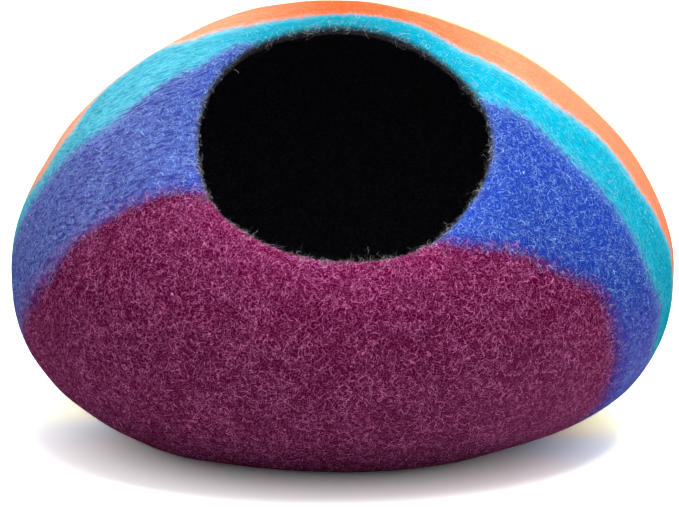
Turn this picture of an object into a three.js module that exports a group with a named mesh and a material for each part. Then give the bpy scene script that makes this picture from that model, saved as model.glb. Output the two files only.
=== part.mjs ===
// A felt cat cave: one hollow, rounded pod of thick felted wool, with a flat base and one round
// opening that faces forward and up. It is felted in one piece, so there is one mesh and no seam.
// Millimetres, +Z up. The opening faces -Y, +X is to its right, and the base stands on z = 0.
import { Group, MathUtils, Mesh, MeshStandardMaterial, Vector3 } from 'three';
import { ParametricGeometry } from 'three/addons/geometries/ParametricGeometry.js';
import { mergeVertices } from 'three/addons/utils/BufferGeometryUtils.js';

// The pod's outside. It is widest at the belly. A roundness of 2 is an ellipse, less is more
// peaked and more is boxier.
const pod = {
  width: 460,
  depth: 442,
  height: 300,
  bellyHeight: 116,
  crownRoundness: 1.81,
  baseRoundness: 2.5,
  baseDrop: 131, // how far below the belly the base would reach if the floor didn't flatten it
  baseSoftness: 6, // how gently the side turns into the flat base
};

const felt = { thickness: 8, colour: 0x84225a, roughness: 0.95 };

// The opening is cut square to an axis that passes through its middle.
const opening = {
  across: 198,
  along: 205,
  middleForward: 137,
  middleHeight: 224,
  tilt: 48.5, // degrees from level up to the axis
};

// Hand felting leaves the shell a little uneven. Each row is a place around the pod as seen from
// the front, in degrees from +X towards +Z, and how far the felt stands out there.
const swells = [
  { angle: 0, out: 0.5 },
  { angle: 45, out: -1 },
  { angle: 70, out: -1.5 },
  { angle: 90, out: -0.5 },
  { angle: 115, out: 3 },
  { angle: 135, out: 1.5 },
  { angle: 160, out: -0.5 },
  { angle: 180, out: 0 },
  { angle: 205, out: -1 },
  { angle: 225, out: 2.5 },
  { angle: 245, out: -1.5 },
  { angle: 290, out: -2 },
  { angle: 315, out: -5 },
  { angle: 340, out: 0 },
];

// The opening is cut by hand too. Each row is a place on its rim, in degrees from +X towards the
// top of the rim, and how much wider the opening is there.
const rimWander = [
  { angle: 0, out: 0.5 },
  { angle: 45, out: -4.5 },
  { angle: 90, out: -0.5 },
  { angle: 135, out: 0.5 },
  { angle: 180, out: -2 },
  { angle: 215, out: 2.5 },
  { angle: 245, out: 0.5 },
  { angle: 270, out: 0.5 },
  { angle: 300, out: 3.5 },
  { angle: 330, out: 1 },
];

// The mesh has rows from a pole at the back of the pod to the rim, round the lip, and back inside.
const mesh = { around: 60, wallRows: 24, lipRows: 6, probe: 1e-3 };

const belly = new Vector3(0, 0, pod.bellyHeight);
const openingMiddle = new Vector3(0, -opening.middleForward, opening.middleHeight);
const tilt = MathUtils.degToRad(opening.tilt);
const upTheRim = new Vector3(0, Math.sin(tilt), Math.cos(tilt));
const towardsOpening = openingMiddle.clone().sub(belly).normalize();
const sideways = new Vector3(1, 0, 0);
const upright = new Vector3().crossVectors(sideways, towardsOpening).negate();

const degrees = (y, x) => MathUtils.euclideanModulo(MathUtils.radToDeg(Math.atan2(y, x)), 360);

// The value of a table at an angle, eased from each row to the next, all the way round.
function wander(rows, angle) {
  const after = rows.findIndex((row) => row.angle > angle);
  const from = rows.at(after < 0 ? -1 : after - 1);
  const to = after < 0 ? { angle: 360, out: rows[0].out } : rows[after];
  return MathUtils.lerp(from.out, to.out, MathUtils.smoothstep(angle, from.angle, to.angle));
}

// How far the pod's outside is from the middle of the belly, along a unit direction.
function reach(direction) {
  const level = Math.hypot(direction.x / (pod.width / 2), direction.y / (pod.depth / 2));
  const above = direction.z >= 0;
  const tall = above ? pod.height - pod.bellyHeight : pod.baseDrop;
  const roundness = above ? pod.crownRoundness : pod.baseRoundness;
  const upward = Math.abs(direction.z) / tall;
  const even = (level ** roundness + upward ** roundness) ** (-1 / roundness);
  const swell = wander(swells, degrees(direction.z, direction.x));
  return even + swell * (1 - direction.y ** 2);
}

// A height after the floor has pressed the base flat, with a soft turn at its edge.
function pressed(height) {
  const soft = pod.baseSoftness;
  if (height >= soft) return height;
  return height <= -soft ? 0 : (height + soft) ** 2 / (4 * soft);
}

function outside(direction) {
  const point = direction.clone().multiplyScalar(reach(direction)).add(belly);
  point.z = pressed(point.z);
  return point;
}

// The unit vector that stands straight out of the pod.
function straightOut(direction) {
  const first = new Vector3(direction.y, -direction.x, direction.z + 1).cross(direction).normalize();
  const second = new Vector3().crossVectors(direction, first);
  const slope = (along) => {
    const ahead = direction.clone().addScaledVector(along, mesh.probe).normalize();
    const behind = direction.clone().addScaledVector(along, -mesh.probe).normalize();
    return outside(ahead).sub(outside(behind));
  };
  return slope(first).cross(slope(second)).normalize();
}

// A direction from the middle of the belly: angle is from the opening's middle, turn goes round it.
function aim(angle, turn) {
  return new Vector3()
    .addScaledVector(towardsOpening, Math.cos(angle))
    .addScaledVector(sideways, Math.sin(angle) * Math.cos(turn))
    .addScaledVector(upright, Math.sin(angle) * Math.sin(turn));
}

// How far outside the opening's cut a point is: less than 1 is within it.
function fromCut(point) {
  const offset = point.clone().sub(openingMiddle);
  const across = offset.dot(sideways);
  const along = offset.dot(upTheRim);
  const wider = wander(rimWander, degrees(along, across));
  return Math.hypot(across / (opening.across / 2 + wider), along / (opening.along / 2 + wider));
}

// The angle at which the wall meets the cut, found by halving.
function rimAngle(turn) {
  let within = 0;
  let beyond = Math.PI / 2;
  for (let step = 0; step < 40; step++) {
    const middle = (within + beyond) / 2;
    if (fromCut(outside(aim(middle, turn))) < 1) within = middle;
    else beyond = middle;
  }
  return beyond;
}

// The shell's surface: u goes round the opening, and v goes from the pole up the outside, round
// the lip and back down the inside.
function shellPoint(u, v, target) {
  const turn = 2 * Math.PI * u;
  const rim = rimAngle(turn);
  const rows = 2 * mesh.wallRows + mesh.lipRows;
  const row = v * rows;
  const onLip = MathUtils.clamp((row - mesh.wallRows) / mesh.lipRows, 0, 1);
  const upWall = Math.min(row, rows - row, mesh.wallRows) / mesh.wallRows;
  const direction = aim(MathUtils.lerp(Math.PI, rim, upWall), turn);
  const out = straightOut(direction);
  const round = aim(rim, turn + mesh.probe).sub(aim(rim, turn - mesh.probe));
  const inward = new Vector3().crossVectors(round, out).normalize();
  if (inward.dot(towardsOpening) < 0) inward.negate();
  const half = felt.thickness / 2;
  const swing = onLip * Math.PI;
  target.copy(outside(direction)).addScaledVector(out, half * (Math.cos(swing) - 1));
  target.addScaledVector(inward, half * Math.sin(swing));
}

// A closed body from a surface whose edges meet: shared points are merged, and the triangles that
// have shrunk to a line at a pole are dropped.
function closedBody(surface) {
  surface.deleteAttribute('normal');
  surface.deleteAttribute('uv');
  const body = mergeVertices(surface, 1e-2);
  const corners = [...body.index.array];
  const kept = corners.filter((corner, place) => {
    const first = place - (place % 3);
    return new Set(corners.slice(first, first + 3)).size === 3;
  });
  body.setIndex(kept);
  body.computeBoundingBox();
  const middle = body.boundingBox.getCenter(new Vector3());
  body.translate(-middle.x, -middle.y, -body.boundingBox.min.z);
  body.computeVertexNormals();
  return body;
}

const surface = new ParametricGeometry(shellPoint, mesh.around, 2 * mesh.wallRows + mesh.lipRows);
const material = new MeshStandardMaterial({
  color: felt.colour,
  roughness: felt.roughness,
  metalness: 0,
});
const shell = new Mesh(closedBody(surface), material);
shell.name = 'felt_shell';

const catCave = new Group();
catCave.add(shell);

export default catCave;
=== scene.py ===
"""A felt cat cave: a hollow pod of thick wet-felted wool in broad bands of dyed wool.

The felt shell, the loose fibres on it, the hairs round its cut mouth, and the studio it stands in.
Metres, +Z up. The mouth faces -Y, and the base stands on z = 0.
"""

import math

import bpy
import numpy as np
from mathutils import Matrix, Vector, noise


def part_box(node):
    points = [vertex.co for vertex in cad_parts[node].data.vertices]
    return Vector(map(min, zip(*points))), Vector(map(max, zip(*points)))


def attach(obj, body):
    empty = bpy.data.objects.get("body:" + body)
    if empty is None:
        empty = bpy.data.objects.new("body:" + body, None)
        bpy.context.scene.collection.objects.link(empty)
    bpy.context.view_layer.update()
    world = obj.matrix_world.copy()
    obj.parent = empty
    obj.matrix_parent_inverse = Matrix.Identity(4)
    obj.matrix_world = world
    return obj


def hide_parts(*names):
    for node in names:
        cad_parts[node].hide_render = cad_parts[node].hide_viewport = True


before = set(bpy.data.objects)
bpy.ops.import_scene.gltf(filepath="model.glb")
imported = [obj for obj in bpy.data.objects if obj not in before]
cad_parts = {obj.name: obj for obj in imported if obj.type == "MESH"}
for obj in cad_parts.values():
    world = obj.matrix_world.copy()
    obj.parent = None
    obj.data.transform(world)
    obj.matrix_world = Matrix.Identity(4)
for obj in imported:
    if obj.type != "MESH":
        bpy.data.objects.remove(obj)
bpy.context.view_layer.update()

bl_info = {
    "name": "Felt cat cave",
    "version": (1, 0, 0),
    "blender": (4, 5, 0),
    "location": "3D View > Sidebar > Felt Cave",
    "description": "Builds a felted wool cat cave with its loose fibres",
    "category": "Object",
}

MM = 0.001
NODE = "felt_shell"
BODY = "root"


def by_angle(*rows):
    """A table with two columns: an angle in degrees, and how far out in millimetres."""
    return [{"angle": angle, "out": out} for angle, out in rows]


# The bands of dyed wool run from the front of the base to the back of the pod. The edge between
# two bands lies on a plane. Turn is how far the plane's normal turns from straight back towards
# +X, tilt is how far it tilts up, and offset is how far the plane is from the middle of the
# belly, in millimetres. Stray is how far the unevenness of the wool moves the edge, in
# millimetres. Paler before and paler behind are how much more pale wool shows on each side of it.
# Wander is how far back the edge goes off its plane, and softness is how far its fuzzy line
# reaches to either side. Their angles run round the edge from +X towards the top.
BAND_EDGES = [
    {
        "name": "plum_to_blue", "turn": 9, "tilt": 37, "offset": -104, "stray": 8,
        "paler_before": 0.0, "paler_behind": -0.3,
        "wander": by_angle(
            (5, -6), (12, 1), (24, 10), (38, 1), (60, -13), (100, -2),
            (116, 7), (136, 3), (148, -4), (174, 7), (215, 2), (290, -4),
        ),
        "softness": by_angle((5, 16), (35, 7), (100, 4), (135, 6), (155, 15), (180, 18)),
    },
    {
        "name": "blue_to_turquoise", "turn": 10, "tilt": 17, "offset": -55, "stray": 18,
        "paler_before": 0.1, "paler_behind": 0.15,
        "wander": by_angle(
            (0, 6), (8, -8), (30, -6), (48, 4), (56, -1), (85, 4), (107, 20), (116, 2),
            (138, -21), (152, -18), (163, -16), (170, -12), (185, 6), (300, 4), (345, 14), (354, 2),
        ),
        "softness": by_angle((20, 6), (110, 6), (150, 11), (190, 11)),
    },
    {
        "name": "turquoise_to_orange", "turn": 8, "tilt": -4, "offset": -57, "stray": 14,
        "paler_before": 0.3, "paler_behind": 0.1,
        "wander": by_angle(
            (4, 37), (10, 22), (18, 9), (26, 7), (40, -7), (58, -9), (75, 6), (108, -11), (120, -3),
            (132, 27), (141, 20), (153, -16), (161, -18), (172, 12), (185, 30), (240, 10),
            (300, 20), (345, 65),
        ),
        "softness": by_angle((20, 4), (100, 5), (140, 8), (190, 8)),
    },
    {
        "name": "orange_to_yellow", "turn": 5, "tilt": -5, "offset": 2, "stray": 10,
        "paler_before": 0.15, "paler_behind": 0.1,
        "wander": by_angle(
            (20, -4), (50, -12), (85, -13), (115, -3), (140, 6), (200, -5), (280, 6)
        ),
        "softness": by_angle((90, 5), (180, 8)),
    },
]

# Each band's finish and its painted light, and in which part of the band. Combed is how far the
# wool lies in line with the band, paler is how much more pale wool shows, and on the left it is
# partly a painted haze of light from behind, dusky is how much wool of the band below is in it, and
# thinner is the share of its loose fibres that it lacks. Creased is where short creases are bumped
# into the felt and darkened by painted shade, and the look that lightens or darkens whole parts of
# a band is painted light and shade, for how light falls on them.
BAND_LOOKS = {
    "plum": {
        "creased": {"left": 0.15},
        "painted_light_by_part": {"flanks": 0.15, "right flank": 0.1},
    },
    "blue": {
        # On the left, paler is partly a painted haze of light from behind.
        "paler": {"left": 0.04, "right": -0.04},
        "creased": {"left": 0.9, "right": 0.4},
        "painted_light_by_part": {"right flank": 0.35},
        "dusky": {"flanks": 0.5},
    },
    "turquoise": {
        "streaks": {"all": 0.1},
        # On the left, paler is partly a painted haze of light from behind.
        "paler": {"middle": -0.25, "left": 0.17, "right": -0.08},
        "creased": {"left": 0.9, "right": 0.7},
        "painted_light_by_part": {"middle": -0.28},
        "thinner": {"middle": 0.45, "right": 0.3},
    },
    "orange": {
        "combed": {"all": 0.85},
        "streaks": {"all": 0.2},
        # On the left, paler is partly a painted haze of light from behind.
        "paler": {"middle": -0.15, "left": 0.7, "right": 0.25},
        "creased": {"left": 0.3},
        "painted_light_by_part": {"middle": -0.15},
    },
    "yellow": {"combed": {"all": 0.9}, "streaks": {"all": 0.4}},
}

# Hand felting leaves the shell a little uneven: how far the felt stands out at angles around the
# pod as seen from the front, from +X towards +Z.
SWELLS = by_angle(
    (0, 0.5), (45, -1), (70, -1.5), (90, -0.5), (115, 3), (135, 2.5), (150, 2.5), (163, 0.5),
    (180, 0.5), (205, -1), (225, 2.5), (245, -1.5), (290, -2), (315, -5), (340, 0),
)

# The mouth is cut by hand: how much wider it is at angles round its rim, from +X towards its top.
RIM_WANDER = by_angle(
    (0, 0.5), (45, -4.5), (90, -0.5), (135, 0.5), (180, -2), (215, 2.5), (245, 0.5), (270, 0.5),
    (300, 3.5), (330, 1),
)


# -------- sizes and colours


def number_of(name, default, description, **options):
    return bpy.props.FloatProperty(name=name, description=description, default=default, **options)


def length_of(name, default_mm, description):
    options = {"min": 0.0, "unit": "LENGTH", "precision": 4}
    return number_of(name, default_mm * MM, description, **options)


def angle_of(name, default_degrees, description):
    return number_of(name, math.radians(default_degrees), description, subtype="ANGLE")


def colour_of(name, default, description):
    return bpy.props.FloatVectorProperty(
        name=name, description=description, default=default, min=0.0, max=1.0, subtype="COLOR"
    )


class PodSizes(bpy.types.PropertyGroup):
    """The pod's outside and the thickness of its felt."""

    width: length_of("Width", 460, "Width of the pod at its belly")
    depth: length_of("Depth", 442, "Depth of the pod from front to back")
    height: length_of("Height", 300, "Height of the pod")
    belly: length_of("Belly height", 116, "Height of the widest level")
    drop: length_of("Base drop", 131, "How far below the belly the base would reach on no floor")
    softness: length_of("Base softness", 6, "How gently the side turns into the flat base")
    felt: length_of("Felt thickness", 8, "Thickness of the felt wall")
    crown: number_of("Crown roundness", 1.81, "2 is an ellipse, less is more peaked")
    base: number_of("Base roundness", 2.5, "2 is an ellipse, more is boxier")
    lump: length_of("Lumps", 0.5, "How far the felt's soft lumps stand out")
    lump_size: length_of("Lump size", 30, "Size of the felt's soft lumps")


class MouthSizes(bpy.types.PropertyGroup):
    """The opening, cut square to an axis through its middle."""

    across: length_of("Across", 198, "Width of the opening on the outside of the felt")
    along: length_of("Along", 205, "Length of the opening along its slope")
    forward: length_of("Forward", 137, "How far the opening's middle is in front of the pod's")
    height: length_of("Height", 224, "Height of the opening's middle")
    tilt: angle_of("Tilt", 48.5, "From level up to the axis")


WOOLS = {
    "plum": {"deep": (0.056, 0.0, 0.018), "pale": (0.95, 0.26, 0.62)},
    "blue": {"deep": (0.005, 0.022, 0.2), "pale": (0.36, 0.6, 1.0)},
    "turquoise": {"deep": (0.0, 0.29, 0.42), "pale": (0.3, 0.62, 0.68)},
    "orange": {"deep": (0.62, 0.1, 0.03), "pale": (0.82, 0.38, 0.24)},
    "yellow": {"deep": (0.8, 0.66, 0.2), "pale": (0.88, 0.85, 0.6)},
    "charcoal": {"deep": (0.02, 0.02, 0.027), "pale": (0.05, 0.05, 0.06)},
    "rim": {"deep": (0.02, 0.018, 0.018), "pale": (0.5, 0.45, 0.48)},
}


class WoolColours(bpy.types.PropertyGroup):
    """Each wool's colour deep in the felt, and the colour of its palest loose fibres."""

    __annotations__ = {
        f"{wool}_{shade}": colour_of(f"{wool}, {shade}", colour, f"The {shade} {wool} wool")
        for wool, shades in WOOLS.items()
        for shade, colour in shades.items()
    }


class FuzzSizes(bpy.types.PropertyGroup):
    """The loose fibres that stand on the felt."""

    density: number_of("Density", 300000.0, "Fibres on each square metre of felt", min=0.0)
    spacing: length_of("Spacing", 0.9, "Least distance between fibres")
    length: length_of("Length", 2.6, "Length of a fibre")
    thickness: length_of("Thickness", 0.15, "Width of a fibre")
    curl: length_of("Curl", 2.8, "How far a fibre bends away from its line")
    lift: length_of("Lift", 0.5, "How far a fibre's middle stands off the felt")
    stand: length_of("Stand", 2.0, "How far the freest fibre ends stand out")
    blend: length_of("Blend", 6.0, "How far fibres stray over the edge of their band")


class StudioSizes(bpy.types.PropertyGroup):
    """The floor, the surround and the camera."""

    floor: length_of("Floor", 16000, "Width of the floor")
    surround: number_of("Surround", 1.0, "Light from all round")
    distance: length_of("Camera distance", 1700, "From the camera to the middle of the pod")
    lens: number_of("Lens", 129.1, "Focal length in millimetres")
    rise: angle_of("Rise", 10, "Camera above level")


# -------- the pod's shape


def eased(table, angles):
    """A table's value at each angle in degrees, eased from row to row, all the way round."""
    first = table[0]
    places = np.array([row["angle"] for row in table] + [first["angle"] + 360.0])
    values = np.array([row["out"] for row in table] + [first["out"]], float)
    angles = (angles - first["angle"]) % 360.0 + first["angle"]
    after = np.searchsorted(places, angles, side="right").clip(1, len(places) - 1)
    share = (angles - places[after - 1]) / (places[after] - places[after - 1])
    share = share * share * (3 - 2 * share)
    return values[after - 1] * (1 - share) + values[after] * share


def unit(vectors):
    return vectors / np.linalg.norm(vectors, axis=-1, keepdims=True)


class PodShape:
    """The pod's surface, worked out from its sizes."""

    def __init__(self, pod, mouth):
        self.pod = pod
        self.mouth = mouth
        self.belly = np.array([0.0, 0.0, pod.belly])
        self.middle = np.array([0.0, -mouth.forward, mouth.height])
        self.side = np.array([1.0, 0.0, 0.0])
        self.up_the_rim = np.array([0.0, math.sin(mouth.tilt), math.cos(mouth.tilt)])
        self.to_mouth = unit(self.middle - self.belly)
        self.upright = -np.cross(self.side, self.to_mouth)

    def reach(self, way):
        """How far the outside is from the middle of the belly, along unit vectors."""
        pod = self.pod
        level = np.hypot(way[..., 0] / (pod.width / 2), way[..., 1] / (pod.depth / 2))
        above = way[..., 2] >= 0
        tall = np.where(above, pod.height - pod.belly, pod.drop)
        roundness = np.where(above, pod.crown, pod.base)
        upward = np.abs(way[..., 2]) / tall
        even = (level**roundness + upward**roundness) ** (-1 / roundness)
        swell = eased(SWELLS, np.degrees(np.arctan2(way[..., 2], way[..., 0])))
        return even + swell * MM * (1 - way[..., 1] ** 2)

    def outside(self, way):
        """Points on the outside, with the base pressed flat by the floor."""
        points = way * self.reach(way)[..., None] + self.belly
        soft = self.pod.softness
        height = points[..., 2]
        turning = (height + soft) ** 2 / (4 * soft)
        pressed = np.where(height >= soft, height, np.where(height <= -soft, 0.0, turning))
        points[..., 2] = pressed
        return points

    def straight_out(self, way, probe=1e-3):
        """Unit vectors that stand straight out of the pod."""
        rough = np.stack([way[..., 1], -way[..., 0], way[..., 2] + 1.0], -1)
        first = unit(np.cross(rough, way))
        second = np.cross(way, first)

        def slope(along):
            return self.outside(unit(way + probe * along)) - self.outside(unit(way - probe * along))

        return unit(np.cross(slope(first), slope(second)))

    def aim(self, angle, turn):
        """Unit vectors at an angle from the mouth's middle, turned round it."""
        sine = np.sin(angle)
        return (
            np.cos(angle)[..., None] * self.to_mouth
            + (sine * np.cos(turn))[..., None] * self.side
            + (sine * np.sin(turn))[..., None] * self.upright
        )

    def from_cut(self, points):
        """How far outside the mouth's cut points are: less than 1 is within it."""
        offset = points - self.middle
        across = offset @ self.side
        along = offset @ self.up_the_rim
        wider = eased(RIM_WANDER, np.degrees(np.arctan2(along, across))) * MM
        return np.hypot(
            across / (self.mouth.across / 2 + wider), along / (self.mouth.along / 2 + wider)
        )

    def rim_angle(self, turn):
        """The angle at which the wall meets the cut, found by halving."""
        within = np.zeros_like(turn)
        beyond = np.full_like(turn, math.pi / 2)
        for _ in range(40):
            half = (within + beyond) / 2
            inside = self.from_cut(self.outside(self.aim(half, turn))) < 1
            within = np.where(inside, half, within)
            beyond = np.where(inside, beyond, half)
        return beyond


def band_distance(points, edge, belly):
    """How far points are behind a band edge, and how soft the edge is there, in metres."""
    turn, tilt = math.radians(edge["turn"]), math.radians(edge["tilt"])
    back = np.array(
        [math.sin(turn) * math.cos(tilt), math.cos(turn) * math.cos(tilt), math.sin(tilt)]
    )
    side = np.array([math.cos(turn), -math.sin(turn), 0.0])
    top = np.cross(side, back)
    offset = points - belly
    angles = np.degrees(np.arctan2(offset @ top, offset @ side))
    distance = offset @ back - (edge["offset"] + eased(edge["wander"], angles)) * MM
    return distance, eased(edge["softness"], angles) * MM


# -------- making and finishing pieces


def new_object(name, data):
    piece = bpy.data.objects.new(name, data)
    bpy.context.scene.collection.objects.link(piece)
    return piece


def add_attribute(mesh, name, values):
    layer = mesh.attributes.new(name, "FLOAT", "POINT")
    layer.data.foreach_set("value", np.asarray(values, np.float32).ravel())


def finished(piece):
    """Makes a plain mesh of what the piece's modifiers give, and drops them."""
    graph = bpy.context.evaluated_depsgraph_get()
    made = bpy.data.meshes.new_from_object(piece.evaluated_get(graph))
    piece.modifiers.clear()
    old = piece.data
    piece.data = made
    made.name = piece.name
    if old.users == 0:
        bpy.data.meshes.remove(old)
    return piece


def ride(piece):
    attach(piece, BODY)


# -------- node trees


def find_socket(sockets, key):
    """A node's socket by its place, identifier or name."""
    if isinstance(key, int):
        return sockets[key]
    exact = [socket for socket in sockets if socket.identifier == key]
    named = [socket for socket in sockets if socket.name == key and socket.enabled]
    return (exact + named)[0]


class Tree:
    """A node tree that is written as nested calls. A node stands for its first output."""

    def __init__(self, tree):
        self.tree = tree

    def node(self, kind, values=None, **settings):
        made = self.tree.nodes.new(kind)
        for name, value in settings.items():
            setattr(made, name, value)
        for key, value in (values or {}).items():
            self.feed(made, key, value)
        return made

    def feed(self, node, key, value):
        """Links a socket or a node to an input, or sets the input's plain value."""
        socket = find_socket(node.inputs, key)
        if isinstance(value, bpy.types.Node):
            value = value.outputs[0]
        if isinstance(value, bpy.types.NodeSocket):
            self.tree.links.new(value, socket)
        else:
            socket.default_value = value

    def mix(self, share, first, second):
        """A colour between two colours."""
        values = {"Factor_Float": share, "A_Color": first, "B_Color": second}
        node = self.node("ShaderNodeMix", values, data_type="RGBA")
        return find_socket(node.outputs, "Result_Color")

    def math(self, operation, *values):
        return self.node("ShaderNodeMath", dict(enumerate(values)), operation=operation)

    def plus(self, first, second):
        return self.math("ADD", first, second)

    def minus(self, first, second):
        return self.math("SUBTRACT", first, second)

    def times(self, first, second):
        return self.math("MULTIPLY", first, second)

    def vector(self, operation, first, second, out="Vector"):
        """Vector arithmetic. SCALE takes a plain number second."""
        node = self.node("ShaderNodeVectorMath", {0: first}, operation=operation)
        self.feed(node, "Scale" if operation == "SCALE" else 1, second)
        return node.outputs[out]

    def xyz(self, x=0.0, y=0.0, z=0.0):
        return self.node("ShaderNodeCombineXYZ", {0: x, 1: y, 2: z})

    def noise(self, place, scale, detail, noise_dimensions="3D", **values):
        """A soft noise from 0 to 1, with the given number of waves in a metre."""
        values = {"Vector": place, "Scale": scale, "Detail": detail, **values}
        return self.node("ShaderNodeTexNoise", values, noise_dimensions=noise_dimensions)

    def ranged(self, value, low, high, to_low=0.0, to_high=1.0, **settings):
        """A value moved from one range to another and kept inside it."""
        limits = {"From Min": low, "From Max": high, "To Min": to_low, "To Max": to_high}
        return self.node("ShaderNodeMapRange", {"Value": value, **limits}, **settings)


def add_sockets(tree, inputs, outputs):
    """Gives a node group its inputs and outputs, each by its name and kind."""
    for in_out, sockets in (("INPUT", inputs), ("OUTPUT", outputs)):
        for name, kind in sockets.items():
            tree.interface.new_socket(name, in_out=in_out, socket_type="NodeSocket" + kind)


# Every fibre has a number of its own from 0 to 1, and the last shade here that its number is above.
SHADES = {"Shade 1": -1.0, "Shade 2": 0.4, "Shade 3": 0.75}

FIBRE_SIZES = (
    "Density", "Spacing", "Blend", "Length", "Thickness", "Curl", "Waves", "Lift", "Stand", "Combed"
)
FIBRE_INPUTS = {
    "Felt": "Geometry",
    **dict.fromkeys(("Behind edge", "Before edge", "Cover"), "String"),
    **dict.fromkeys(FIBRE_SIZES, "Float"),
    **dict.fromkeys(("Points", "Seed"), "Int"),
    **dict.fromkeys(SHADES, "Material"),
}

# What is added to the seed for each thing about a fibre that is drawn at random.
DRAWS = {"stray": 11, "own number": 23, "freedom": 29, "direction": 31, "length": 41}

# Across the bands, which run across the front of the pod.
ACROSS_BANDS = (0.15, 0.98, 0.1)
LENGTH_SPREAD = (0.55, 1.35)
# How far apart the fibres' own places in the noise that bends them are.
NOISE_SPREAD = 400.0
BEND = 2.6
# How much of the bend that points out of the felt is taken away.
FLATTENED = 0.8
LEAST_LIFT = 0.2
# The higher this is, the fewer fibres have an end that stands free.
FREEDOM_POWER = 6.0
# The width of a fibre's ends, as a share of its middle's.
END_WIDTH = 0.35
LEAST_HEIGHT = 0.0001


def fibre_tree():
    """Loose curled fibres, scattered over the felt between two band edges."""
    tree = bpy.data.node_groups.new("Loose wool fibres", "GeometryNodeTree")
    add_sockets(tree, FIBRE_INPUTS, {"Fibres": "Geometry"})
    t = Tree(tree)
    given = t.node("NodeGroupInput").outputs

    def drawn(what, low, high):
        seed = t.plus(given["Seed"], DRAWS[what])
        limits = {"Min_001": low, "Max_001": high, "Seed": seed}
        node = t.node("FunctionNodeRandomValue", limits, data_type="FLOAT")
        return find_socket(node.outputs, "Value_001")

    def named(name, kind="FLOAT"):
        node = t.node("GeometryNodeInputNamedAttribute", {"Name": name}, data_type=kind)
        return find_socket(node.outputs, "Attribute")

    def keep(geometry, value, name, kind="FLOAT"):
        values = {"Geometry": geometry, "Name": name, "Value": value}
        return t.node("GeometryNodeStoreNamedAttribute", values, data_type=kind, domain="POINT")

    position = t.node("GeometryNodeInputPosition")
    cover = {
        "Mesh": given["Felt"], "Distance Min": given["Spacing"], "Density Max": given["Density"],
        "Density Factor": named(given["Cover"]), "Seed": given["Seed"],
    }
    scatter = t.node("GeometryNodeDistributePointsOnFaces", cover, distribute_method="POISSON")
    # A fibre strays a little way over its band's edges.
    stray = t.times(given["Blend"], drawn("stray", -1.0, 1.0))
    stray = t.times(stray, named("mingled"))
    behind = t.math("GREATER_THAN", t.plus(named(given["Behind edge"]), stray), 0.0)
    before = t.math("LESS_THAN", t.plus(named(given["Before edge"]), stray), 0.0)
    within = {"Geometry": scatter.outputs["Points"], "Selection": t.times(behind, before)}
    points = t.node("GeometryNodeSeparateGeometry", within, domain="POINT")
    points = keep(points, scatter.outputs["Normal"], "straight_out", "FLOAT_VECTOR")
    points = keep(points, drawn("own number", 0.0, 1.0), "own_number")
    points = keep(points, drawn("freedom", 0.0, 1.0), "free_number")

    line = t.node("GeometryNodeCurvePrimitiveLine", {"Start": (-0.5, 0, 0), "End": (0.5, 0, 0)})
    line = t.node("GeometryNodeResampleCurve", {"Curve": line, "Count": given["Points"]})
    # Combed fibres lie along the bands.
    along_band = t.vector("CROSS_PRODUCT", scatter.outputs["Normal"], ACROSS_BANDS)
    laid = {"Rotation": scatter.outputs["Rotation"], "Vector": along_band}
    laid = t.node("FunctionNodeAlignRotationToVector", laid, axis="X", pivot_axis="Z")
    loose = t.minus(1.0, given["Combed"])
    angle = t.times(loose, drawn("direction", -math.pi, math.pi))
    spin = t.node("FunctionNodeAxisAngleToRotation", {"Axis": (0, 0, 1), "Angle": angle})
    turns = {"Rotation": laid, "Rotate By": spin}
    turned = t.node("FunctionNodeRotateRotation", turns, rotation_space="LOCAL")
    long = t.times(given["Length"], drawn("length", *LENGTH_SPREAD))
    placed = {"Points": points, "Instance": line, "Rotation": turned}
    placed["Scale"] = t.xyz(long, long, long)
    fibres = t.node("GeometryNodeInstanceOnPoints", placed)
    fibres = t.node("GeometryNodeRealizeInstances", {"Geometry": fibres})

    # Each fibre bends by a noise of its own, mostly along the felt, and its middle lifts.
    waves = t.math("DIVIDE", given["Waves"], given["Length"])
    own_place = t.times(named("own_number"), NOISE_SPREAD)
    bend = t.noise(position, waves, 0.0, noise_dimensions="4D", W=own_place).outputs["Color"]
    bend = t.vector("SCALE", t.vector("SUBTRACT", bend, (0.5, 0.5, 0.5)), given["Curl"])
    bend = t.vector("SCALE", bend, BEND)
    out = named("straight_out", "FLOAT_VECTOR")
    outward = t.vector("DOT_PRODUCT", bend, out, out="Value")
    flat = t.vector("SUBTRACT", bend, t.vector("SCALE", out, t.times(outward, FLATTENED)))
    along = t.node("GeometryNodeSplineParameter")
    arch = t.math("SINE", t.times(along, math.pi))
    lift = t.times(arch, given["Lift"])
    lift = t.times(lift, t.plus(LEAST_LIFT, named("own_number")))
    # Few fibres have an end that stands free.
    free = t.times(given["Stand"], t.math("POWER", named("free_number"), FREEDOM_POWER))
    lift = t.plus(lift, t.times(free, t.math("POWER", along, 2.0)))
    moved = t.vector("ADD", flat, t.vector("SCALE", out, lift))
    fibres = t.node("GeometryNodeSetPosition", {"Geometry": fibres, "Offset": moved})
    fibres = t.node("GeometryNodeSetCurveNormal", {"Curve": fibres, "Normal": out}, mode="FREE")
    half = t.times(given["Thickness"], 0.5)
    ends = {"Start": t.xyz(y=t.times(half, -1.0)), "End": t.xyz(y=half)}
    ribbon = {"Curve": fibres, "Profile Curve": t.node("GeometryNodeCurvePrimitiveLine", ends)}
    ribbon["Scale"] = t.plus(END_WIDTH, t.times(arch, 1 - END_WIDTH))
    fibres = t.node("GeometryNodeCurveToMesh", ribbon)
    fibres = t.node("GeometryNodeRealizeInstances", {"Geometry": fibres})
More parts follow.
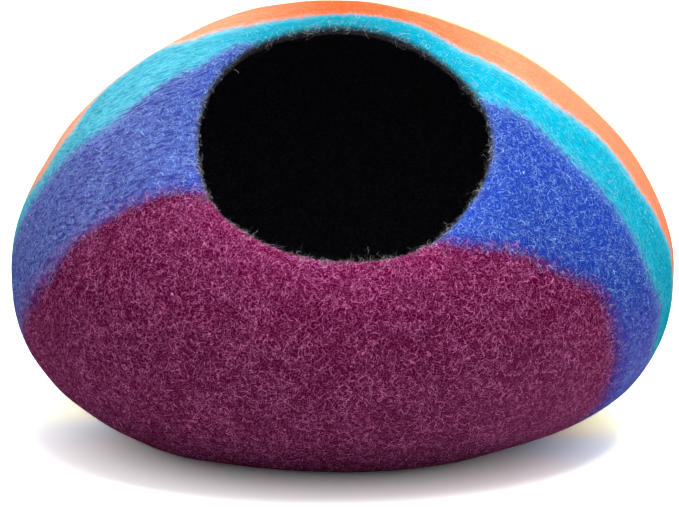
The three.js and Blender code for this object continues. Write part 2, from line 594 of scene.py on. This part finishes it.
    # No fibre goes into the floor.
    where = t.node("ShaderNodeSeparateXYZ", {0: position}).outputs
    lifted = t.xyz(where[0], where[1], t.math("MAXIMUM", where[2], LEAST_HEIGHT))
    fibres = t.node("GeometryNodeSetPosition", {"Geometry": fibres, "Position": lifted})
    for name, above in SHADES.items():
        chosen = t.math("GREATER_THAN", named("own_number"), above)
        values = {"Geometry": fibres, "Selection": chosen, "Material": given[name]}
        fibres = t.node("GeometryNodeSetMaterial", values)
    t.node("NodeGroupOutput", {0: fibres})
    return tree


# -------- materials

# Fineness is how narrow the net's fibres are for the size of its loops.
OUTSIDE_NET = {"Fibre size": 0.0017, "Fineness": 88.0}
INSIDE_NET = {"Fibre size": 0.0028, "Fineness": 12.0}
NET_DISTORTION = 0.4

# Scales are in waves of noise for each metre.
EDGE_SCALE = 260.0
# A band edge is drawn along the fibres of the net that cross it.
EDGE_ALONG_NET = 0.25
NET_MEAN = 0.4
# From is the part of a noise that is used, and to is what it becomes. A noise that is drawn out
# along a band edge has more waves across the bands.
PALE_PATCHES = {"scale": 22.0, "detail": 1.0, "from": (0.3, 0.7), "to": (0.63, 0.85)}
MOTTLE = {"scale": 45.0, "detail": 3.0, "from": (0.0, 1.0), "to": (0.86, 1.12)}
STREAKS = {"scale": 50.0, "along": "turquoise_to_orange", "across": 600.0,
           "detail": 3.0, "from": (0.35, 0.7), "to": (0.0, 0.9)}
CREASES = {"scale": 250.0, "along": "blue_to_turquoise", "across": 500.0,
           "detail": 1.0, "from": (0.5, 0.62), "to": (0.0, 1.0)}
# Painted shade in the creases: how much it hides the pale wool there, and how much it darkens all
# the wool.
CREASE_PAINTED_SHADE_ON_PALE = 0.7
CREASE_PAINTED_SHADE = 0.25
# The share of the way round the lip at which grey wool starts to show, and then shows alone.
GREY_SHOWS = (0.15, 0.5)
DUSK_COLOUR = (0.07, 0.03, 0.26)
BUMP = {"Strength": 0.8, "Distance": 0.0006}
# How many times paler the inside's netted fibres are than the wool under them.
INSIDE_PALER = 3
# How pale the floor is to the light that it throws back up, and to the camera.
FLOOR_TONES = (0.55, 1.7)


def clear_material(name):
    material = bpy.data.materials.new(name)
    material.use_nodes = True
    material.node_tree.nodes.clear()
    return material, Tree(material.node_tree)


def opaque(colour):
    return (*colour, 1.0)


def between(first, second, share):
    """A colour between two colours."""
    return tuple(a * (1 - share) + b * share for a, b in zip(first, second))


def finish(t, colour, roughness=0.95, specular=0.0, height=None):
    """Ends a material with a rough, matt surface, and raises its fibres where a height is given."""
    values = {"Base Color": colour, "Roughness": roughness, "Specular IOR Level": specular}
    if height is not None:
        values["Normal"] = t.node("ShaderNodeBump", {"Height": height, **BUMP})
    t.node("ShaderNodeOutputMaterial", {"Surface": t.node("ShaderNodeBsdfPrincipled", values)})


def plain_wool(name, colour):
    """A single loose fibre's finish."""
    material, t = clear_material(name)
    finish(t, opaque(colour), roughness=0.9)
    material.diffuse_color = opaque(colour)
    return material


def fibre_net_group():
    """A net of fine curled fibres: how much of a fibre lies at each point."""
    group = bpy.data.node_groups.new("Fibre net", "ShaderNodeTree")
    inputs = {"Vector": "Vector", "Fibre size": "Float", "Fineness": "Float"}
    add_sockets(group, inputs, {"Fibre": "Float", "Height": "Float"})
    t = Tree(group)
    given = t.node("NodeGroupInput").outputs
    layers = []
    for shift, size in ((0.0, 1.0), (3.7, 1.25)):
        moved = t.vector("ADD", given["Vector"], (shift, -shift, 2 * shift))
        scale = t.math("DIVIDE", 1.0 / size, given["Fibre size"])
        field = t.noise(moved, scale, 0.0, Distortion=NET_DISTORTION)
        away = t.math("ABSOLUTE", t.minus(field, 0.5))
        line = t.minus(1.0, t.times(away, given["Fineness"]))
        layers.append(t.math("MAXIMUM", line, 0.0))
    t.node("NodeGroupOutput", {0: t.math("MAXIMUM", *layers), 1: t.plus(*layers)})
    return group


def band_group():
    """The wool before and behind a band's edge, mixed across the fuzzy line where they meet."""
    group = bpy.data.node_groups.new("Band edge", "ShaderNodeTree")
    numbers = dict.fromkeys(("Distance", "Stray", "Softness"), "Float")
    add_sockets(group, {"Before": "Color", "Behind": "Color", **numbers}, {"Color": "Color"})
    t = Tree(group)
    given = t.node("NodeGroupInput").outputs
    place = t.math("DIVIDE", t.plus(given["Distance"], given["Stray"]), given["Softness"])
    share = t.ranged(place, -1.0, 1.0, interpolation_type="SMOOTHSTEP")
    t.node("NodeGroupOutput", {0: t.mix(share, given["Before"], given["Behind"])})
    return group


def banded_felt(net, wools, rim):
    """The outside felt: bands of dyed wool, with paler fibres netted over the deeper wool, and
    painted light and shade.
    """
    material, t = clear_material("Banded wool felt")
    edge_group = band_group()
    place = t.node("ShaderNodeTexCoord").outputs["Object"]

    def attribute(name):
        return t.node("ShaderNodeAttribute", attribute_name=name).outputs["Fac"]

    def look_of(row):
        """A noise by its row, drawn out along a band's edge where the row has one."""
        at = t.vector("SCALE", place, row["scale"])
        if "along" in row:
            across = t.times(attribute(row["along"]), row["across"])
            at = t.vector("ADD", at, t.xyz(across))
        return t.ranged(t.noise(at, 1.0, row["detail"]), *row["from"], *row["to"])

    fibres = t.node("ShaderNodeGroup", {"Vector": place, **OUTSIDE_NET}, node_tree=net).outputs
    netted = fibres["Fibre"]
    wander = t.minus(t.noise(place, EDGE_SCALE, 3.0), 0.5)
    wander = t.plus(wander, t.times(t.minus(netted, NET_MEAN), EDGE_ALONG_NET))

    def banded(shade):
        shown = opaque(wools[0][shade])
        for wool, edge in zip(wools[1:], BAND_EDGES):
            values = {
                "Before": shown,
                "Behind": opaque(wool[shade]),
                "Distance": attribute(edge["name"]),
                "Stray": t.times(wander, edge["stray"] * MM),
                "Softness": attribute(edge["name"] + "_softness"),
            }
            shown = t.node("ShaderNodeGroup", values, node_tree=edge_group)
        return shown

    deep = t.mix(attribute("dusky"), banded(0), opaque(DUSK_COLOUR))
    pale = banded(1)
    netted = t.times(netted, look_of(PALE_PATCHES))
    # Combed wool shows fine streaks along its band in place of the net.
    streaks = t.times(look_of(STREAKS), attribute("streaks"))
    netted = t.times(netted, t.minus(1.0, attribute("combed")))
    # Short creases run in line with the bands. Painted shade darkens them, and they are bumped into
    # the felt.
    creases = t.times(look_of(CREASES), attribute("creased"))
    share = t.plus(t.plus(netted, streaks), attribute("paler"))
    # Painted shade in the creases hides the pale wool there.
    share = t.times(share, t.minus(1.0, t.times(creases, CREASE_PAINTED_SHADE_ON_PALE)))
    shown = t.mix(t.node("ShaderNodeClamp", {"Value": share}), deep, pale)
    # Painted shade darkens the creases, and painted light and shade lighten or darken the wool for
    # its place; the mottle is the wool's own uneven tone.
    painted_light = t.minus(1.0, t.times(creases, CREASE_PAINTED_SHADE))
    painted_light = t.times(painted_light, attribute("painted_light_gain"))
    toned = t.vector("SCALE", shown, t.times(painted_light, look_of(MOTTLE)))
    # The dyed wool thins out over the lip, where grey wool shows through it.
    grey = t.mix(fibres["Fibre"], opaque(rim[0]), opaque(between(*rim, 0.5)))
    toned = t.mix(t.ranged(attribute("lip"), *GREY_SHOWS), toned, grey)
    finish(t, toned, height=t.minus(fibres["Height"], creases))
    return material


def charcoal_felt(net, colour):
    """The felt inside the pod and on the cut lip."""
    material, t = clear_material("Charcoal wool felt")
    place = t.node("ShaderNodeTexCoord").outputs["Object"]
    fibres = t.node("ShaderNodeGroup", {"Vector": place, **INSIDE_NET}, node_tree=net).outputs
    paler = [INSIDE_PALER * part for part in colour]
    wool = t.mix(fibres["Fibre"], opaque(colour), opaque(paler))
    finish(t, wool, specular=0.1, height=fibres["Height"])
    return material


def white_floor():
    """A floor that looks white but throws only a little light back up."""
    material, t = clear_material("White floor")
    seen = t.node("ShaderNodeLightPath").outputs["Is Camera Ray"]
    shown = t.mix(seen, *[opaque([tone] * 3) for tone in FLOOR_TONES])
    finish(t, shown, roughness=1.0)
    return material


# -------- the felt skin

# How many rows of the skin's net lie on the wall, round the lip and inside, and how many points
# go once round each row.
ROWS = {"wall": 150, "lip": 16, "inner": 60, "around": 320}

# How far from the middle the looks of a side are reached in full.
FULL_SIDE = 0.12
# The width over which one band's finish gives way to the next one's.
FINISH_CHANGE = 0.006
# How far the paler wool by a band edge reaches.
EDGE_REACH = 0.009
# Painted light and shade round the mouth: the wool is lighter at the sides and below it, and darker
# above it.
PAINTED_LIGHT_BY_MOUTH = {"reach": 0.035, "sides": 0.2, "above": -0.4, "below": 0.9}
FLANK = {"starts": 0.06, "over": 0.1}
# Dusky wool reaches all the way up on the left, and on the right only up to a height.
DUSKY = {"height": 0.13, "over": 0.06, "paler": 0.1}
# Painted light makes the plum and blue wool near the base paler, and more so towards the right.
PAINTED_LIGHT_LOW = {"height": 0.12, "over": 0.1, "least": 0.3, "slope": 4, "paler": 0.06}
# How much further fibres stray over a band's edge at each side.
MINGLED = {"left": 1, "right": 0.3}

# Shares of the way round the lip, from its outside to its inside.
LIP = {"underside_ends": 0.2, "outside_ends": 0.4, "rim_starts": 0.15, "rim_ends": 0.7}
# Loose fibres stand thicker in some patches than in others, and thinly under the base.
PATCHES = {"size": 0.022, "mean": 0.75, "swing": 0.35, "least": 0.4}
UNDERSIDE = {"height": 0.004, "share": 0.1}
# Hairs gather in tufts round the rim, and fewer of them at its top.
TUFTS = {"size": 0.009, "mean": 0.5, "swing": 1.2, "least": 0.05}
RIM_HAIRS = {"sides": 0.65, "above": -0.5, "below": 0.35}


def noise_at(points, size):
    """A soft noise from -1 to 1 at each point, with lumps of a size."""
    return np.array([noise.noise(Vector(at) / size) for at in points])


def patchy(points, patches):
    """A share of 1 or less that changes softly from place to place."""
    share = patches["mean"] + patches["swing"] * noise_at(points, patches["size"])
    return np.clip(share, patches["least"], 1)


def rising(values, start, over):
    """0 up to the start, and from there up to 1."""
    return np.clip((values - start) / over, 0, 1)


def falling(values, start, over):
    """0 down to the start, and from there up to 1."""
    return np.clip((start - values) / over, 0, 1)


class SkinNet:
    """The net of points that the felt skin is made of.

    Its rows run from the pole at the back of the pod to the mouth, round the lip, and back along
    the inside. Up is how far a row is from the pole towards the mouth, and swing is how far the
    row has turned round the lip.
    """

    def __init__(self, shape):
        self.shape = shape
        self.around = ROWS["around"]
        self.turn = np.linspace(0, 2 * math.pi, self.around, endpoint=False)
        self.rim = shape.rim_angle(self.turn)
        wall, lip, inner = ROWS["wall"], ROWS["lip"], ROWS["inner"]
        up = [np.linspace(0, 1, wall + 1)[1:], np.ones(lip - 1), np.linspace(1, 0, inner + 1)[:-1]]
        swing = [np.zeros(wall), np.linspace(0, math.pi, lip + 1)[1:-1], np.full(inner, math.pi)]
        self.up = np.concatenate(up)
        self.swing = np.concatenate(swing)
        self.rows = len(self.up)

    def vertices(self, probe=1e-3):
        """Each row's points in turn, then the pole outside and the pole inside."""
        shape, pod = self.shape, self.shape.pod
        round_rim = shape.aim(self.rim, self.turn + probe) - shape.aim(self.rim, self.turn - probe)
        up = self.up[:, None]
        angle = math.pi + (self.rim[None, :] - math.pi) * up
        way = shape.aim(angle, self.turn[None, :] + 0 * up)
        out = shape.straight_out(way)
        inward = unit(np.cross(np.broadcast_to(round_rim, out.shape), out))
        inward *= np.sign(inward @ shape.to_mouth)[..., None]
        half = pod.felt / 2
        points = shape.outside(way)
        points += out * (half * (np.cos(self.swing) - 1))[:, None, None]
        points += inward * (half * np.sin(self.swing))[:, None, None]
        lumps = noise_at(points.reshape(-1, 3), pod.lump_size)
        points += out * lumps.reshape(out.shape[:2])[..., None] * pod.lump
        pole = shape.aim(np.array([math.pi]), np.array([0.0]))
        pole_out = shape.outside(pole)
        pole_in = pole_out - shape.straight_out(pole) * pod.felt
        return np.concatenate([points.reshape(-1, 3), pole_out, pole_in])

    def faces(self):
        number = np.arange(self.rows * self.around).reshape(self.rows, self.around)
        after = np.roll(number, -1, axis=1)
        quads = np.stack([number[:-1], after[:-1], after[1:], number[1:]], -1).reshape(-1, 4)
        first, last = number.size, number.size + 1
        caps = [(int(a), int(n), first) for a, n in zip(after[0], number[0])]
        caps += [(int(n), int(a), last) for a, n in zip(after[-1], number[-1])]
        return quads.tolist() + caps

    def map_spots(self):
        """Each face corner's place on a map that runs round the pod and from pole to pole."""
        around, rows = self.around, self.rows
        column = np.arange(around) / around
        corners = np.stack([column, column + 1 / around, column + 1 / around, column], -1)
        wide = np.tile(corners, (rows - 1, 1))
        level = (0.5 + np.repeat(np.arange(rows - 1), around)) / rows
        high = np.stack([level, level, level + 1 / rows, level + 1 / rows], -1)
        spots = np.stack([wide, high], -1).reshape(-1, 2)
        halfway = column + 0.5 / around
        near, far = 0.5 / rows, 1 - 0.5 / rows
        outer = [[(c + 1 / around, near), (c, near), (h, 0)] for c, h in zip(column, halfway)]
        inner = [[(c, far), (c + 1 / around, far), (h, 1)] for c, h in zip(column, halfway)]
        return np.concatenate([spots, np.reshape(outer + inner, (-1, 2))])

    def spread(self, values, outer_pole, inner_pole):
        """A value for each vertex, from values for each row or for each place round it."""
        full = np.broadcast_to(values, (self.rows, self.around))
        return np.concatenate([full.ravel(), [outer_pole, inner_pole]])

    def lip_share(self):
        return self.spread((self.swing / math.pi)[:, None], 0.0, 1.0)

    def round_mouth(self, amounts):
        """An amount at the mouth's sides that changes by others above the mouth and below it."""
        change = np.where(self.turn < math.pi, amounts["above"], -amounts["below"])
        return amounts["sides"] + change * np.sin(self.turn)

    def painted_light_by_mouth(self):
        """The painted light and shade on the wool for its place near the mouth."""
        width = self.shape.pod.width
        away = (math.pi - self.rim[None, :]) * (1 - self.up[:, None]) * width / 2
        painted_light = self.round_mouth(PAINTED_LIGHT_BY_MOUTH)[None, :]
        return self.spread(np.exp(-away / PAINTED_LIGHT_BY_MOUTH["reach"]) * painted_light, 0.0, 0.0)


def wool_marks(net, vertices):
    """What the felt's finish, its painted light and shade, and its loose fibres need to know at
    each vertex.
    """
    count = len(vertices)
    across, high = vertices[:, 0], vertices[:, 2]
    left = falling(across, 0.0, FULL_SIDE)
    right = rising(across, 0.0, FULL_SIDE)
    middle = 1 - left - right
    middle = middle * middle * (3 - 2 * middle)
    flanks = rising(np.abs(across), FLANK["starts"], FLANK["over"])
    lip_share = net.lip_share()
    marks = {"front": np.full(count, 1.0), "back": np.full(count, -1.0), "lip": lip_share}

    finish = {look: np.zeros(count) for looks in BAND_LOOKS.values() for look in looks}
    smallest = np.full(count, np.inf)
    behind = [np.ones(count)]
    for edge in BAND_EDGES:
        distance, softness = band_distance(vertices, edge, net.shape.belly)
        smallest = np.minimum(smallest, distance)
        marks[edge["name"]] = smallest
        marks[edge["name"] + "_softness"] = softness
        past = np.clip(0.5 + smallest / FINISH_CHANGE, 0, 1)
        behind.append(past)
        change = edge["paler_before"] * (1 - past) + edge["paler_behind"] * past * (1 - left)
        finish["paler"] += change * np.exp(-np.square(smallest / EDGE_REACH))
    behind.append(np.zeros(count))

    parts = {"all": 1.0, "left": left, "middle": middle, "right": right}
    parts |= {"flanks": flanks, "right flank": right * flanks}
    within = {}
    for place, (wool, looks) in enumerate(BAND_LOOKS.items()):
        within[wool] = behind[place] * (1 - behind[place + 1])
        for look, amounts in looks.items():
            for part, amount in amounts.items():
                finish[look] += within[wool] * amount * parts[part]

    finish["dusky"] *= np.where(across < 0, 1.0, falling(high, DUSKY["height"], DUSKY["over"]))
    # Painted light: the plum and blue wool near the base is paler, more so towards the right.
    painted_light_low = falling(high, PAINTED_LIGHT_LOW["height"], PAINTED_LIGHT_LOW["over"]) * (within["plum"] + within["blue"])
    painted_light_low *= np.clip(PAINTED_LIGHT_LOW["least"] + PAINTED_LIGHT_LOW["slope"] * across, PAINTED_LIGHT_LOW["least"], 1)
    finish["paler"] += DUSKY["paler"] * finish["dusky"] + PAINTED_LIGHT_LOW["paler"] * painted_light_low

    # Painted light and shade: the wool lighter or darker near the mouth and on parts of the bands,
    # for how light falls.
    painted_light_gain = 1 + net.painted_light_by_mouth() + finish.pop("painted_light_by_part")

    thick = patchy(vertices, PATCHES) * (1 - finish.pop("thinner"))
    thick = np.where(lip_share > 0, 1.0, thick)
    underneath = (high < UNDERSIDE["height"]) & (lip_share < LIP["underside_ends"])
    outside = np.where(underneath, UNDERSIDE["share"], lip_share < LIP["outside_ends"])
    on_rim = (lip_share > LIP["rim_starts"]) & (lip_share < LIP["rim_ends"])
    hairs = on_rim * net.spread(net.round_mouth(RIM_HAIRS), 1.0, 1.0)
    return {
        **marks,
        **finish,
        "painted_light_gain": painted_light_gain,
        "mingled": 1 + MINGLED["left"] * left + MINGLED["right"] * right,
        "outside": outside * thick,
        "inside": lip_share > LIP["rim_ends"],
        "rim": hairs * patchy(vertices, TUFTS),
    }


# -------- operators


def wool_pair(colours, name):
    """A wool's deep and pale colours."""
    return tuple(getattr(colours, name + "_deep")), tuple(getattr(colours, name + "_pale"))


class FeltShell(bpy.types.Operator):
    """Builds the felt shell: its outside, rolled lip and inside, as one closed skin."""

    bl_idname = "felt_cave.shell"
    bl_label = "Felt shell"

    def execute(self, context):
        scene = context.scene
        net = SkinNet(PodShape(scene.pod_sizes, scene.mouth_sizes))
        vertices = net.vertices()
        # The skin is centred where the solid felt is, and stands on the floor.
        ends = np.array(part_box(NODE))
        moved = (ends.sum(0) - vertices.min(0) - vertices.max(0)) / 2
        moved[2] = -vertices[:, 2].min()
        mesh = bpy.data.meshes.new("felt_skin")
        mesh.from_pydata((vertices + moved).tolist(), [], net.faces())
        mesh.validate()
        mesh.shade_smooth()
        bake_map = mesh.uv_layers.new(name="OFBake")
        bake_map.uv.foreach_set("vector", net.map_spots().astype(np.float32).ravel())
        for name, values in wool_marks(net, vertices).items():
            add_attribute(mesh, name, values)

        piece = new_object("felt_skin", mesh)
        colours = scene.wool_colours
        wools = [wool_pair(colours, wool) for wool in BAND_LOOKS]
        fibre_net = fibre_net_group()
        mesh.materials.append(banded_felt(fibre_net, wools, wool_pair(colours, "rim")))
        mesh.materials.append(charcoal_felt(fibre_net, tuple(colours.charcoal_deep)))
        # The dyed wool ends halfway round the lip.
        dyed_rows = ROWS["wall"] + ROWS["lip"] // 2
        index = np.repeat(np.arange(net.rows - 1) >= dyed_rows, net.around)
        caps = np.repeat([False, True], net.around)
        index = np.concatenate([index, caps]).astype(np.int32)
        mesh.polygons.foreach_set("material_index", index)
        ride(piece)
        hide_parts(NODE)
        return {"FINISHED"}


# Each wool's loose fibres, and the part of the felt that they cover. Points is how many points a
# fibre's line has, and waves how often it bends in its length. Tints are its three shades, from 0
# for the wool's deep colour to 1 for its pale one. Density, length, thickness and stand are shares
# of a fibre's usual ones, and combed fibres lie along the bands.
USUAL = {"cover": "outside", "points": 5, "waves": 1.5, "density": 1.0, "stand": 1.0, "combed": 0.0}
FUZZ = {
    "plum": {
        "points": 7, "waves": 2.2, "tints": [0.3, 0.7, 1.1],
        "density": 0.75, "length": 1.4, "thickness": 0.85,
    },
    "blue": {
        "points": 7, "waves": 2.2, "tints": [0.3, 0.7, 1.0],
        "density": 0.85, "length": 1.4, "thickness": 0.75, "combed": 0.2,
    },
    "turquoise": {
        "tints": [0.1, 0.6, 1.0],
        "density": 1.2, "length": 1.1, "thickness": 0.8, "stand": 1.8, "combed": 0.4,
    },
    "orange": {
        "tints": [0.1, 0.45, 0.9],
        "length": 1.2, "thickness": 0.8, "stand": 1.8, "combed": 0.65,
    },
    "yellow": {
        "tints": [0.4, 0.8, 1.0],
        "density": 0.4, "length": 1.3, "thickness": 1.1, "stand": 0.8, "combed": 0.6,
    },
    "charcoal": {
        "cover": "inside", "tints": [0.0, 0.25, 0.8],
        "density": 0.06, "length": 1.8, "thickness": 1.2,
    },
    "rim": {
        "cover": "rim", "points": 13, "waves": 3.0, "tints": [0.05, 0.3, 1.0],
        "density": 3.0, "length": 2.2, "thickness": 0.6, "stand": 4.5,
    },
}
FIRST_SEED = 10


class LooseFibres(bpy.types.Operator):
    """Scatters curled fibres over the felt, one piece for each wool."""

    bl_idname = "felt_cave.fibres"
    bl_label = "Loose fibres"

    def execute(self, context):
        scene = context.scene
        felt = bpy.data.objects["felt_skin"]
        sizes = scene.fuzz_sizes
        tree = fibre_tree()
        ends = ["front", *[edge["name"] for edge in BAND_EDGES], "back"]
        bands = dict(zip(BAND_LOOKS, zip(ends, ends[1:])))
        for place, (wool, own) in enumerate(FUZZ.items()):
            row = {**USUAL, **own}
            behind, before = bands.get(wool, ("front", "back"))
            deep, pale = wool_pair(scene.wool_colours, wool)
            piece = new_object(wool + "_fibres", felt.data.copy())
            modifier = piece.modifiers.new("Fibres", "NODES")
            modifier.node_group = tree
            inputs = {
                "Behind edge": behind, "Before edge": before, "Cover": row["cover"],
                "Density": sizes.density * row["density"], "Spacing": sizes.spacing,
                "Blend": sizes.blend, "Length": sizes.length * row["length"],
                "Thickness": sizes.thickness * row["thickness"], "Points": row["points"],
                "Curl": sizes.curl * row["length"], "Waves": row["waves"], "Lift": sizes.lift,
                "Stand": sizes.stand * row["stand"], "Combed": row["combed"],
                "Seed": FIRST_SEED + place,
            }
            for number, (shade, tint) in enumerate(zip(SHADES, row["tints"]), 1):
                colour = between(deep, pale, tint)
                inputs[shade] = plain_wool(f"{wool} fibre {number}", colour)
            for name, value in inputs.items():
                modifier[tree.interface.items_tree[name].identifier] = value
            mesh = finished(piece).data
            spare = [
                layer.name
                for layer in mesh.attributes
                if layer.data_type.startswith("FLOAT") and layer.name != "position"
            ]
            for name in spare:
                mesh.attributes.remove(mesh.attributes[name])
            ride(piece)
        return {"FINISHED"}


LAMP = {"at": (0.24, -0.14, 1.6), "aim": (0, 0, 0.1), "size": 1.2, "watts": 45.0}
# The camera's distance and rise are from a point at this height, and it looks down by this angle.
CAMERA = {"sideways": -0.002, "height": 0.15, "down": 10.89, "sensor": 36}


class Studio(bpy.types.Operator):
    """Sets the floor, the lamp, the white surround and the camera."""

    bl_idname = "felt_cave.studio"
    bl_label = "Studio"

    def execute(self, context):
        scene = context.scene
        sizes = scene.studio_sizes
        half = sizes.floor / 2
        corners = [(-half, -half, 0), (half, -half, 0), (half, half, 0), (-half, half, 0)]
        mesh = bpy.data.meshes.new("floor")
        mesh.from_pydata(corners, [], [(0, 1, 2, 3)])
        floor = new_object("floor", mesh)
        mesh.materials.append(white_floor())

        world = bpy.data.worlds.new("White surround")
        world.use_nodes = True
        background = world.node_tree.nodes["Background"]
        background.inputs["Color"].default_value = (1.0, 1.0, 1.0, 1.0)
        background.inputs["Strength"].default_value = sizes.surround
        scene.world = world

        light = bpy.data.lights.new("top_softbox", "AREA")
        light.shape = "SQUARE"
        light.size = LAMP["size"]
        light.energy = LAMP["watts"]
        lamp = new_object("top_softbox", light)
        lamp.location = LAMP["at"]
        to_pod = Vector(LAMP["aim"]) - Vector(LAMP["at"])
        lamp.rotation_euler = to_pod.to_track_quat("-Z", "Y").to_euler()

        scene.view_settings.view_transform = "Standard"
        lens = bpy.data.cameras.new("camera")
        lens.lens = sizes.lens
        lens.sensor_width = CAMERA["sensor"]
        camera = new_object("camera", lens)
        back = sizes.distance * math.cos(sizes.rise)
        above = sizes.distance * math.sin(sizes.rise)
        camera.location = (CAMERA["sideways"], -back, CAMERA["height"] + above)
        camera.rotation_euler = (math.radians(90 - CAMERA["down"]), 0, 0)
        scene.camera = camera
        return {"FINISHED"}


class CavePanel(bpy.types.Panel):
    """Lists the steps that build the felt cave."""

    bl_idname = "VIEW3D_PT_felt_cave"
    bl_label = "Felt cave"
    bl_space_type = "VIEW_3D"
    bl_region_type = "UI"
    bl_category = "Felt Cave"

    def draw(self, context):
        column = self.layout.column()
        for step in STEPS:
            column.operator(step.bl_idname)


GROUPS = {
    "pod_sizes": PodSizes,
    "mouth_sizes": MouthSizes,
    "wool_colours": WoolColours,
    "fuzz_sizes": FuzzSizes,
    "studio_sizes": StudioSizes,
}
STEPS = [FeltShell, LooseFibres, Studio]


def register():
    for kind in [*GROUPS.values(), *STEPS, CavePanel]:
        bpy.utils.register_class(kind)
    for name, kind in GROUPS.items():
        setattr(bpy.types.Scene, name, bpy.props.PointerProperty(type=kind))


def unregister():
    for name in GROUPS:
        delattr(bpy.types.Scene, name)
    for kind in [CavePanel, *reversed(STEPS), *reversed(list(GROUPS.values()))]:
        bpy.utils.unregister_class(kind)


def main():
    register()
    bpy.ops.felt_cave.shell()
    bpy.ops.felt_cave.fibres()
    bpy.ops.felt_cave.studio()


if __name__ == "__main__":
    main()
